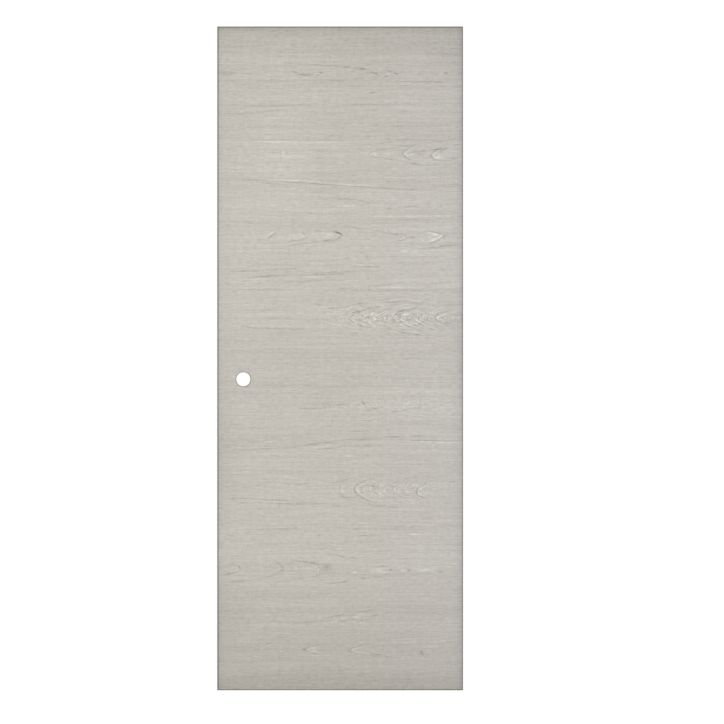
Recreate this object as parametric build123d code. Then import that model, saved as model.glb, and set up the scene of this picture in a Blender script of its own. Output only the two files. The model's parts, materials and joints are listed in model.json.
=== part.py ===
"""Flush sliding door leaf with one round bore for a recessed pull.

The leaf is a timber frame of laths round a tubular chipboard core, faced on both sides with a
thin fibreboard skin and closed along its two upright edges with a band. It hangs from hangers
screwed into its top edge and runs over a floor guide that stands in the groove of its foot.

Millimetres. X runs across the leaf, Y through it from front to back, and Z up. The origin is
the middle of the top edge, so the leaf hangs below it.
"""

import os

from build123d import *

# Outside of the leaf
LEAF_WIDTH = 735.0
LEAF_HEIGHT = 1985.0
LEAF_THICKNESS = 40.0

# Skins and edge bands
SKIN_THICKNESS = 3.0
BAND_THICKNESS = 2.0
ARRIS_RADIUS = 1.5
LEAST_FLAT = 0.3  # flat that a rounded arris leaves on the wall it is worked into

# Frame laths between the skins
STILE_WIDTH = 42.0
RAIL_HEIGHT = 45.0

# Bore for the recessed pull, placed from the left edge and from the foot
BORE_DIAMETER = 42.0
BORE_BACKSET = 78.0
BORE_HEIGHT = 930.0
BORE_ARRIS = 0.5

# Solid block that the bore passes through, by the timber that it keeps round the bore
BLOCK_SIDE_COVER = 25.0
BLOCK_END_COVER = 110.0

# Groove along the foot for the floor guide
GROOVE_WIDTH = 8.0
GROOVE_DEPTH = 18.0

# Tubular core board: the chipboard left over each tube, and the web between two tubes
TUBE_COVER = 5.0
TUBE_WEB = 7.0

# Worked out from the sizes above
FRAME_DEPTH = LEAF_THICKNESS - 2 * SKIN_THICKNESS
LEAF_LEFT = -LEAF_WIDTH / 2
LEAF_RIGHT = LEAF_WIDTH / 2
LEAF_FRONT = -LEAF_THICKNESS / 2
LEAF_FOOT = -LEAF_HEIGHT
PANEL_LEFT = LEAF_LEFT + BAND_THICKNESS
PANEL_RIGHT = LEAF_RIGHT - BAND_THICKNESS
INFILL_LEFT = PANEL_LEFT + STILE_WIDTH
INFILL_RIGHT = PANEL_RIGHT - STILE_WIDTH
INFILL_TOP = -2 * RAIL_HEIGHT
INFILL_FOOT = LEAF_FOOT + RAIL_HEIGHT
BORE_X = LEAF_LEFT + BORE_BACKSET
BORE_Z = LEAF_FOOT + BORE_HEIGHT
BLOCK_RIGHT = BORE_X + BORE_DIAMETER / 2 + BLOCK_SIDE_COVER
BLOCK_TOP = BORE_Z + BORE_DIAMETER / 2 + BLOCK_END_COVER
BLOCK_FOOT = BORE_Z - BORE_DIAMETER / 2 - BLOCK_END_COVER
TUBE_DIAMETER = FRAME_DEPTH - 2 * TUBE_COVER


def eased_strip(thickness, length):
    """Section of a strip, its back at x = 0 and its two outer corners, at -x, rounded."""
    strip = Rectangle(thickness, length, align=(Align.MAX, Align.CENTER))
    outer_corners = strip.vertices().group_by(Axis.X)[0]
    return fillet(outer_corners, min(ARRIS_RADIUS, thickness - LEAST_FLAT))


def bore_cutter():
    """Cylinder of the pull's bore, long enough to pass through the whole leaf."""
    through = Cylinder(BORE_DIAMETER / 2, LEAF_THICKNESS, rotation=(90, 0, 0))
    return Pos(BORE_X, 0, BORE_Z) * through


def groove_cutter():
    """Bar of the floor guide's groove, along the whole foot of the leaf."""
    section = Rectangle(GROOVE_WIDTH, GROOVE_DEPTH, align=(Align.CENTER, Align.MIN))
    return extrude(Plane.YZ.offset(LEAF_LEFT) * Pos(0, LEAF_FOOT) * section, LEAF_WIDTH)


def front_skin():
    """Front facing: its section is drawn upright and run across the leaf, then bored."""
    section = Pos(LEAF_FRONT + SKIN_THICKNESS, -LEAF_HEIGHT / 2) * eased_strip(
        SKIN_THICKNESS, LEAF_HEIGHT
    )
    sheet = extrude(Plane.YZ.offset(PANEL_LEFT) * section, PANEL_RIGHT - PANEL_LEFT)
    bored = sheet - bore_cutter()
    mouth = bored.edges().filter_by(GeomType.CIRCLE).sort_by(Axis.Y)[0]
    return chamfer(mouth, BORE_ARRIS)


def left_edge_band():
    """Band on the left edge: its section is drawn in plan and run down the leaf."""
    section = Pos(PANEL_LEFT, 0) * eased_strip(BAND_THICKNESS, LEAF_THICKNESS)
    return extrude(Plane.XY.offset(LEAF_FOOT) * section, LEAF_HEIGHT) - groove_cutter()


def left_stile():
    """Upright lath of the full height, with the groove cut across its foot."""
    section = Rectangle(STILE_WIDTH, FRAME_DEPTH, align=(Align.MIN, Align.CENTER))
    lath = extrude(Plane.XY.offset(LEAF_FOOT) * Pos(PANEL_LEFT, 0) * section, LEAF_HEIGHT)
    return lath - groove_cutter()


def rail(foot):
    """Lath lying between the stiles, its lower side at the height foot."""
    section = Rectangle(FRAME_DEPTH, RAIL_HEIGHT, align=(Align.CENTER, Align.MIN))
    return extrude(
        Plane.YZ.offset(INFILL_LEFT) * Pos(0, foot) * section, INFILL_RIGHT - INFILL_LEFT
    )


def pull_block():
    """Solid block beside the left stile, bored for the pull."""
    section = Rectangle(
        BLOCK_RIGHT - INFILL_LEFT, FRAME_DEPTH, align=(Align.MIN, Align.CENTER)
    )
    block = extrude(
        Plane.XY.offset(BLOCK_FOOT) * Pos(INFILL_LEFT, 0) * section, BLOCK_TOP - BLOCK_FOOT
    )
    return block - bore_cutter()


def tube_board(left, right, foot, top):
    """Core board with a row of upright tubes, as many as its width holds, set centrally."""
    width = right - left
    pitch = TUBE_DIAMETER + TUBE_WEB
    tubes = int((width - TUBE_WEB) // pitch)
    section = Rectangle(width, FRAME_DEPTH) - GridLocations(pitch, 0, tubes, 1) * Circle(
        TUBE_DIAMETER / 2
    )
    middle = Pos((left + right) / 2, 0)
    return extrude(Plane.XY.offset(foot) * middle * section, top - foot)


def pieces():
    """Every piece of the leaf by its name, the right and back ones mirrored from their twins."""
    skin = front_skin()
    band = left_edge_band()
    stile = left_stile()
    return {
        "front_skin": skin,
        "back_skin": mirror(skin, Plane.XZ),
        "left_edge_band": band,
        "right_edge_band": mirror(band, Plane.YZ),
        "left_stile": stile,
        "right_stile": mirror(stile, Plane.YZ),
        "top_rail": rail(-RAIL_HEIGHT),
        "hanger_rail": rail(INFILL_TOP),
        "bottom_rail": rail(LEAF_FOOT) - groove_cutter(),
        "pull_block": pull_block(),
        "core_board": tube_board(BLOCK_RIGHT, INFILL_RIGHT, INFILL_FOOT, INFILL_TOP),
        "core_strip_above_block": tube_board(INFILL_LEFT, BLOCK_RIGHT, BLOCK_TOP, INFILL_TOP),
        "core_strip_below_block": tube_board(INFILL_LEFT, BLOCK_RIGHT, INFILL_FOOT, BLOCK_FOOT),
    }


os.makedirs("parts", exist_ok=True)
for name, piece in pieces().items():
    piece.label = name
    export_step(piece, f"parts/{name}.step")
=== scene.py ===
"""Looks of a flush sliding door leaf: its wood-decor skins, edge bands, raw timber and glue lines.

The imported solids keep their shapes. Each gets a finish worked out from its real surface, and the
seams between them get thin glue lines. Places in the decor are millimetres from the leaf's left
edge (u) and from its top edge (v), as they are read off the front. Tones of the print are display
levels, 255 from black to white, above or below its middle shade.
"""

from __future__ import annotations

import json
import logging
import math
from dataclasses import dataclass
from enum import Enum

import bpy
import numpy as np
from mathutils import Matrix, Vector

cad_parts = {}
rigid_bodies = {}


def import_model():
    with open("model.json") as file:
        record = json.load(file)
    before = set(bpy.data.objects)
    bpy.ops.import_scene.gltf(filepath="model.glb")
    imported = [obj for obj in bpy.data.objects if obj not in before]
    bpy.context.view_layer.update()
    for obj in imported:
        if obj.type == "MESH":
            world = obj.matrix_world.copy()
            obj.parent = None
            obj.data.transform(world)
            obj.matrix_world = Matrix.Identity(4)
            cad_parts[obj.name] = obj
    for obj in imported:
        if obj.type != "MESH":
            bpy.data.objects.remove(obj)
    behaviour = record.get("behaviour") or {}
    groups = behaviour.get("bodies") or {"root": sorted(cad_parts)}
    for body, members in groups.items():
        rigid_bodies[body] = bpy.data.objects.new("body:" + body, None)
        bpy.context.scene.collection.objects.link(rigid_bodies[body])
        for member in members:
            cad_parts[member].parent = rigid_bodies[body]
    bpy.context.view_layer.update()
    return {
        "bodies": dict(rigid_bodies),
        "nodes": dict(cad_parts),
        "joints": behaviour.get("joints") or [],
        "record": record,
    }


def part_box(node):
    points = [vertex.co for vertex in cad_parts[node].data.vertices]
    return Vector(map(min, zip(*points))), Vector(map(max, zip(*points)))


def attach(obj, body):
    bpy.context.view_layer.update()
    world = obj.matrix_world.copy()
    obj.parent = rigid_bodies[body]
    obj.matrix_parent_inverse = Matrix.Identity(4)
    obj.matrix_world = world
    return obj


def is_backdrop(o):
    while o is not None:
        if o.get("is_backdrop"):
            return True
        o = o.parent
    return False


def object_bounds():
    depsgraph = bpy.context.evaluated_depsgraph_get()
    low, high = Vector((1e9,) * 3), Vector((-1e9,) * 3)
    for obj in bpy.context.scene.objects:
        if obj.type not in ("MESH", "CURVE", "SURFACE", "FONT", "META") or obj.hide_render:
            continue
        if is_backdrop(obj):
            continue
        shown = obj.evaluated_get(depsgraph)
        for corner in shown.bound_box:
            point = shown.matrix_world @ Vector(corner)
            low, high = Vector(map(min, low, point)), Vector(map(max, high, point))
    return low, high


LOG = logging.getLogger("door_leaf")
MM = 0.001

# Blender's names for the kinds of node that come up most
MATH = "ShaderNodeMath"
RANGE = "ShaderNodeMapRange"
RAMP = "ShaderNodeValToRGB"
CURVE = "ShaderNodeFloatCurve"
NOISE = "ShaderNodeTexNoise"
CELLS = "ShaderNodeTexVoronoi"
MAPPING = "ShaderNodeMapping"
PLACE = "ShaderNodeTexCoord"
SPHERE = "ShaderNodeTexGradient"
MIX = "ShaderNodeMix"
SPLIT = "ShaderNodeSeparateXYZ"
JOIN = "ShaderNodeCombineXYZ"
VECTOR = "ShaderNodeVectorMath"
BUMP = "ShaderNodeBump"
SHADER = "ShaderNodeBsdfPrincipled"

Socket = bpy.types.NodeSocket
Feed = float | tuple | Socket


def linear(hex_colour: str) -> tuple[float, float, float, float]:
    """Turns an sRGB hex colour into linear light.

    Args:
        hex_colour: six hex digits, two each for red, green and blue.

    Returns:
        Red, green and blue in linear light, and an alpha of one.
    """
    srgb = np.array([int(hex_colour[i : i + 2], 16) for i in (0, 2, 4)]) / 255
    light = np.where(srgb <= 0.04045, srgb / 12.92, ((srgb + 0.055) / 1.055) ** 2.4)
    return (*light.tolist(), 1.0)


def fill_stops(colour: Socket, stops: list[tuple[float, Feed]]) -> Socket:
    """Fills in a colour ramp's stops, which a setting alone can't do.

    Args:
        colour: the ramp's colour.
        stops: each stop's place and its grey or its linear colour, in rising order.

    Returns:
        The ramp's colour.
    """
    elements = colour.node.color_ramp.elements
    elements.remove(elements[1])
    for number, (place, shade) in enumerate(stops):
        stop = elements[0] if number == 0 else elements.new(place)
        stop.position = place
        stop.color = shade if isinstance(shade, tuple) else (shade, shade, shade, 1.0)
    return colour


def fill_points(height: Socket, points: list[tuple[float, float]]) -> Socket:
    """Fills in a curve's points and draws it as straight stretches between them.

    Args:
        height: the curve's value.
        points: each point's place and value, in rising order, from place 0 to place 1.

    Returns:
        The curve's value.
    """
    line = height.node.mapping.curves[0]
    line.points[0].location, line.points[1].location = points[0], points[-1]
    for place, value in points[1:-1]:
        line.points.new(place, value)
    for point in line.points:
        point.handle_type = "VECTOR"
    height.node.mapping.update()
    return height


class Recipe:
    """The node tree of one finish or of the world, filled node by node."""

    def __init__(self, owner: bpy.types.Material | bpy.types.World) -> None:
        """Empties the owner's node tree and takes it over.

        Args:
            owner: the new material or world.
        """
        owner.use_nodes = True
        self.owner = owner
        self.tree = owner.node_tree
        self.tree.nodes.clear()

    def add(self, kind: str, inputs: dict[int | str, Feed] | None = None, out: int | str = 0,
            **settings: object) -> Socket | None:
        """Adds one node with its settings, and sets or links its inputs.

        Args:
            kind: Blender's name for the kind of node.
            inputs: a value or another node's socket for each input, by its place or name.
            out: which of the node's outputs is handed on.
            **settings: the node's own properties.

        Returns:
            The chosen output of the new node, or None where it has none.
        """
        node = self.tree.nodes.new(kind)
        for name, value in settings.items():
            setattr(node, name, value)
        for key, value in (inputs or {}).items():
            if isinstance(value, Socket):
                self.tree.links.new(value, node.inputs[key])
            else:
                node.inputs[key].default_value = value
        return node.outputs[out] if len(node.outputs) else None

    def fleck(self, place: Socket, size: tuple[float, ...], detail: float) -> Socket:
        """Makes noise whose flecks are drawn out to that size.

        Args:
            place: where on or in the piece, in mm.
            size: a fleck's length along each axis, in mm; two of them lie flat on the sheet.
            detail: how many finer scales ride on it.

        Returns:
            The noise, about 0.5 on average.
        """
        shrink = tuple(1 / length for length in size) + (0.0,) * (3 - len(size))
        drawn = self.add(VECTOR, {0: place, 1: shrink}, operation="MULTIPLY")
        return self.add(NOISE, {"Vector": drawn, "Scale": 1.0, "Detail": detail, "Roughness": 0.6},
                        noise_dimensions=f"{len(size)}D")

    def close(self, inputs: dict[str, Feed]) -> bpy.types.Material:
        """Ends the tree in one shader with those inputs, and hands the material back."""
        self.add("ShaderNodeOutputMaterial", {"Surface": self.add(SHADER, inputs)})
        return self.owner


class Layers:
    """Running sum of display levels over a printed sheet, layer on layer."""

    def __init__(self, recipe: Recipe) -> None:
        """Starts from a flat sheet at level zero.

        Args:
            recipe: the finish's node tree.
        """
        self.recipe = recipe
        self.total: Feed = 0.0
        self.offset = 0.0

    def lay(self, share: Socket, levels: float, middle: float = 0.0) -> None:
        """Adds (share - middle) times levels.

        Args:
            share: the pattern, usually from 0 to 1.
            levels: display levels from a share of 0 to a share of 1.
            middle: the share that leaves the sheet as it was.
        """
        self.total = self.recipe.add(MATH, {0: share, 1: levels, 2: self.total}, operation="MULTIPLY_ADD")
        self.offset -= middle * levels

    def colour(self, shades: tuple[tuple[float, str], ...]) -> Socket:
        """Turns the levels into the print's colours.

        Args:
            shades: levels and their sRGB colours, from dark to light.

        Returns:
            The colour.
        """
        darkest, lightest = shades[0][0], shades[-1][0]
        share = self.recipe.add(RANGE, {"Value": self.total, 1: darkest - self.offset,
                                        2: lightest - self.offset, 3: 0.0, 4: 1.0})
        stops = [((level - darkest) / (lightest - darkest), linear(shade)) for level, shade in shades]
        return fill_stops(self.recipe.add(RAMP, {0: share}), stops)


class Lie(Enum):
    """Which way the pointed arches of a board's figure point, with the sign of their opening."""

    LEFT = 1.0
    RIGHT = -1.0


class Edge(Enum):
    """An edge of the sheet, with the axis that runs away from it and whether that is backwards."""

    LEFT = (0, False)
    RIGHT = (0, True)
    TOP = (1, False)
    FOOT = (1, True)


@dataclass(frozen=True)
class Arch:
    """One growth ring, seen as a rounded arch where the board was cut flat.

    Attributes:
        tip: mm from the left edge and from the top.
        lie: which way it points.
        radius: how round its tip is, in mm; a small one looks pointed.
        reach: mm behind the tip over which it fades out.
        dark: display levels that its late-wood line takes away.
        light: display levels that the early wood behind that line adds.
        width: width of the dark line, in mm.
        turn: degrees by which it is turned about its tip, clockwise.
    """

    tip: tuple[float, float]
    lie: Lie
    radius: float
    reach: float
    dark: float
    light: float
    width: float
    turn: float = 0.0


@dataclass(frozen=True)
class Swirl:
    """Fine rings nested in one another within an oval of a board.

    Attributes:
        middle: middle of the oval, in mm from the left edge and from the top.
        size: half its length and half its height, in mm.
        tip: where the rings' outermost arch has its tip.
        radius: how round the tips are, in mm.
        levels: display levels from no noise to full noise.
    """

    middle: tuple[float, float]
    size: tuple[float, float]
    tip: tuple[float, float]
    radius: float
    levels: float


@dataclass(frozen=True)
class Streak:
    """One long thin grain line, tapering to both ends; light ones beside dark ones are painted highlights.

    Attributes:
        left: mm from the left edge and from the top at its left end.
        right: the same at its right end.
        width: its width in mm.
        levels: display levels that it adds; a dark one takes away.
    """

    left: tuple[float, float]
    right: tuple[float, float]
    width: float
    levels: float


@dataclass(frozen=True)
class Board:
    """One board of the printed veneer, laid crossways.

    Attributes:
        top: where it starts, in mm below the leaf's top edge.
        tone: its tone against the middle shade, in display levels.
    """

    top: float
    tone: float


@dataclass(frozen=True)
class Fibre:
    """One scale of the wood's own texture.

    Attributes:
        along: length of a fleck along the grain, in mm.
        across: its width, in mm.
        levels: display levels from no noise to full noise.
        detail: how many finer scales ride on it.
    """

    along: float
    across: float
    levels: float
    detail: float = 2.0


@dataclass(frozen=True)
class EdgeShade:
    """Painted shade towards one edge: the print is darkened there, and more in a line along the arris.

    Attributes:
        edge: the edge.
        levels: display levels taken away at the very edge.
        reach: mm over which that falls to a third.
        line: how far the painted shade line along the arris reaches in, in mm.
        shade_line_levels: display levels that the line takes away.
    """

    edge: Edge
    levels: float
    reach: float
    line: float
    shade_line_levels: float


# What the print shows, in mm and display levels, board by board from the top
ARCHES = (
    Arch((267, 377), Lie.LEFT, 4, 70, 34, 22, 3.6, 8), Arch((452, 384), Lie.LEFT, 2.2, 90, 36, 30, 4.5, -3),
    Arch((556, 384), Lie.LEFT, 8, 46, 86, 62, 5.5, -6),
    Arch((640, 390), Lie.LEFT, 6.5, 60, 80, 56, 5.5, -14),
    Arch((267, 625), Lie.RIGHT, 3.4, 60, 34, 36, 5, -6), Arch((372, 623), Lie.RIGHT, 4, 50, 80, 46, 6, -6),
    Arch((566, 631), Lie.RIGHT, 3.4, 40, 56, 60, 4.5, 6),
    Arch((678, 627), Lie.RIGHT, 3, 70, 56, 66, 5.5, -3),
    Arch((300, 873), Lie.LEFT, 6, 330, 22, 18, 4.5, -2), Arch((398, 873), Lie.LEFT, 7, 120, 54, 40, 4.5),
    Arch((430, 873), Lie.LEFT, 6, 60, 36, 34, 4), Arch((458, 871), Lie.LEFT, 3.2, 90, 30, 56, 4.5, -6),
    Arch((545, 873), Lie.LEFT, 10.5, 70, 74, 50, 4.5), Arch((584, 872), Lie.LEFT, 6.5, 60, 50, 96, 4.5),
    Arch((603, 872), Lie.LEFT, 6.5, 40, 84, 66, 3.6), Arch((653, 868), Lie.LEFT, 7, 60, 62, 92, 5.5, 4),
    Arch((548, 1124), Lie.LEFT, 5, 40, 20, 12, 4), Arch((352, 1384), Lie.LEFT, 7, 60, 24, 20, 4),
    Arch((364, 1384), Lie.LEFT, 8, 50, 34, 36, 4.5), Arch((410, 1386), Lie.LEFT, 11, 100, 78, 36, 5.5),
    Arch((432, 1385), Lie.LEFT, 9, 50, 34, 34, 3.6), Arch((452, 1385), Lie.LEFT, 8, 40, 34, 40, 3.6),
    Arch((470, 1387), Lie.LEFT, 7, 50, 36, 44, 3.6), Arch((494, 1388), Lie.LEFT, 7, 50, 32, 42, 3.6),
    Arch((526, 1384), Lie.LEFT, 8, 60, 26, 34, 4), Arch((595, 1392), Lie.LEFT, 8, 60, 54, 54, 5, -4),
    Arch((69, 1622), Lie.RIGHT, 4.2, 60, 46, 34, 5, 2), Arch((196, 1617), Lie.RIGHT, 8, 46, 44, 22, 5.5),
    Arch((244, 1622), Lie.RIGHT, 9, 26, 30, 40, 5), Arch((307, 1624), Lie.RIGHT, 14, 22, 50, 60, 5.5),
    Arch((178, 1862), Lie.LEFT, 4, 40, 20, 24, 4), Arch((262, 1862), Lie.LEFT, 2.4, 75, 38, 50, 5),
    Arch((396, 1865), Lie.LEFT, 2.6, 100, 48, 50, 5, -3),
)

SWIRLS = (
    Swirl((600, 380), (150, 45), (450, 385), 4.0, 24),
    Swirl((640, 640), (110, 45), (450, 630), 4.0, 36),
    Swirl((550, 872), (250, 80), (300, 873), 7.0, 108),
    Swirl((560, 1140), (210, 60), (400, 1128), 7.0, 40),
    Swirl((520, 1388), (200, 58), (330, 1385), 9.0, 50),
    Swirl((390, 1772), (120, 34), (280, 1782), 8.0, 34),
)

# Light lines laid close beside dark ones are painted highlights on the edges of the pressed relief; the rest
# is the print's grain
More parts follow.
